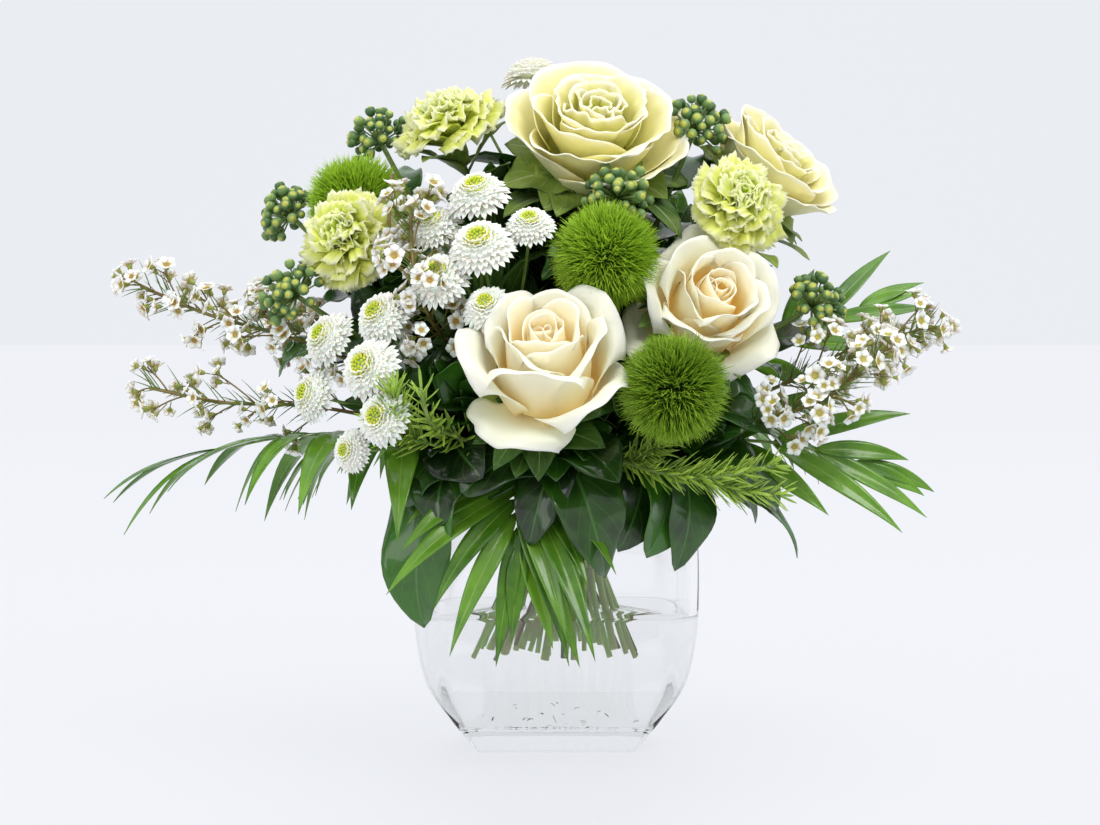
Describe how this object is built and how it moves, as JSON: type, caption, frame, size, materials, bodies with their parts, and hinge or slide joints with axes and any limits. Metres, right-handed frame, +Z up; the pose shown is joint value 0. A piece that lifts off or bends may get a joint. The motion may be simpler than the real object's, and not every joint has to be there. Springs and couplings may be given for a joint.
{
  "type": "floral table centerpiece",
  "caption": "Domed hand-tied bouquet of cream and green flowers with mixed foliage, standing in a clear glass pillow vase part filled with water.",
  "frame": {"origin": "middle of the flat underside of the vase's foot, which stands on the table", "axes": "+Z up along the vase, +X along the vase's wide side and the bouquet's longest spread, -Y out of the front of the bouquet"},
  "size_m": [0.4734, 0.3428, 0.4076],
  "materials": {
    "glass": "polished",
    "water": "polished",
    "twine": "matte",
    "rose_petal": "satin",
    "cabbage_petal": "satin",
    "carnation_petal": "matte",
    "white_petal": "matte",
    "lime_bract": "matte",
    "green_stem": "satin",
    "ivy_leaf": "gloss",
    "waxflower": "matte",
    "rosemary_needle": "satin",
    "palm_leaf": "satin"
  },
  "bodies": {
    "root": {"cabbage_right_petals": "cabbage_petal", "cabbage_right_stem": "green_stem", "cabbage_top_petals": "cabbage_petal", "cabbage_top_stem": "green_stem", "carnation_back_petals": "carnation_petal", "carnation_back_stem": "green_stem", "carnation_left_petals": "carnation_petal", "carnation_left_stem": "green_stem", "carnation_right_petals": "carnation_petal", "carnation_right_stem": "green_stem", "carnation_top_petals": "carnation_petal", "carnation_top_stem": "green_stem", "chrysanthemum_back": "white_petal", "chrysanthemum_lower": "white_petal", "chrysanthemum_top": "white_petal", "chrysanthemum_upper": "white_petal", "dianthus_back": "lime_bract", "dianthus_left": "lime_bract", "dianthus_low": "lime_bract", "dianthus_middle": "lime_bract", "ivy_back": "ivy_leaf", "ivy_back_left": "ivy_leaf", "ivy_back_right": "ivy_leaf", "ivy_collar_back": "ivy_leaf", "ivy_collar_front": "ivy_leaf", "ivy_collar_left": "ivy_leaf", "ivy_collar_right": "ivy_leaf", "ivy_left": "ivy_leaf", "ivy_low_left": "ivy_leaf", "ivy_low_right": "ivy_leaf", "ivy_middle": "ivy_leaf", "ivy_right": "ivy_leaf", "ivy_top_left": "ivy_leaf", "ivy_top_right": "ivy_leaf", "ivy_upper_left": "ivy_leaf", "palm_back_left": "palm_leaf", "palm_back_right": "palm_leaf", "palm_front": "palm_leaf", "palm_left": "palm_leaf", "palm_right_lower": "palm_leaf", "palm_right_upper": "palm_leaf", "rose_back_petals": "rose_petal", "rose_back_stem": "green_stem", "rose_front_petals": "rose_petal", "rose_front_stem": "green_stem", "rose_right_petals": "rose_petal", "rose_right_stem": "green_stem", "rosemary_left": "rosemary_needle", "rosemary_right": "rosemary_needle", "twine": "twine", "vase": "glass", "water": "water", "waxflower_back": "waxflower", "waxflower_left_lower": "waxflower", "waxflower_left_upper": "waxflower", "waxflower_middle": "waxflower", "waxflower_right_lower": "waxflower", "waxflower_right_upper": "waxflower"}
  },
  "joints": []
}
